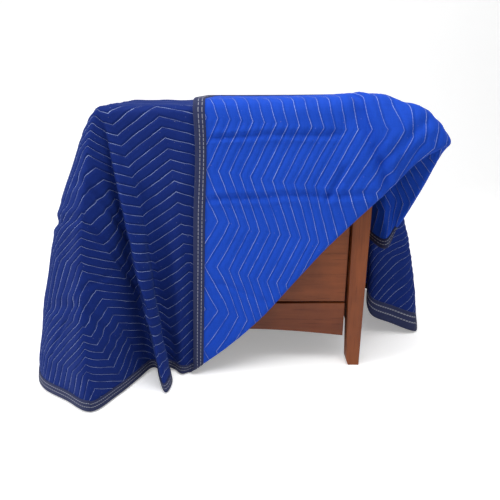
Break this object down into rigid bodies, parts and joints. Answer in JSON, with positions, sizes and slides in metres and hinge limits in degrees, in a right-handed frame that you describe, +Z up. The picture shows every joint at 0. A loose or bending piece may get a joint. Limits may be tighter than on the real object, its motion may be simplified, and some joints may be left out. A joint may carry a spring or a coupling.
{
  "type": "quilted moving blanket draped over a side table",
  "caption": "Quilted moving blanket hung over a plain wooden side table, with one front corner folded back over the top and the hems pooling on the floor.",
  "frame": {"origin": "centre of the footprint's box, on the floor that the table stands on", "axes": "+Z up, -Y toward the front hem with the folded corner, +X to the right seen from the front"},
  "size_m": [1.3224, 1.1381, 0.781],
  "materials": {
    "quilted_cloth": "matte",
    "binding_cloth": "matte",
    "stained_wood": "satin"
  },
  "bodies": {
    "root": {"blanket": "quilted_cloth", "binding_front": "binding_cloth", "binding_back": "binding_cloth", "binding_left": "binding_cloth", "binding_right": "binding_cloth", "table_top": "stained_wood", "leg_front_left": "stained_wood", "leg_front_right": "stained_wood", "leg_back_left": "stained_wood", "leg_back_right": "stained_wood", "panel_front": "stained_wood", "panel_back": "stained_wood", "panel_left": "stained_wood", "panel_right": "stained_wood", "rail_front": "stained_wood", "rail_back": "stained_wood", "rail_left": "stained_wood", "rail_right": "stained_wood"}
  },
  "joints": []
}
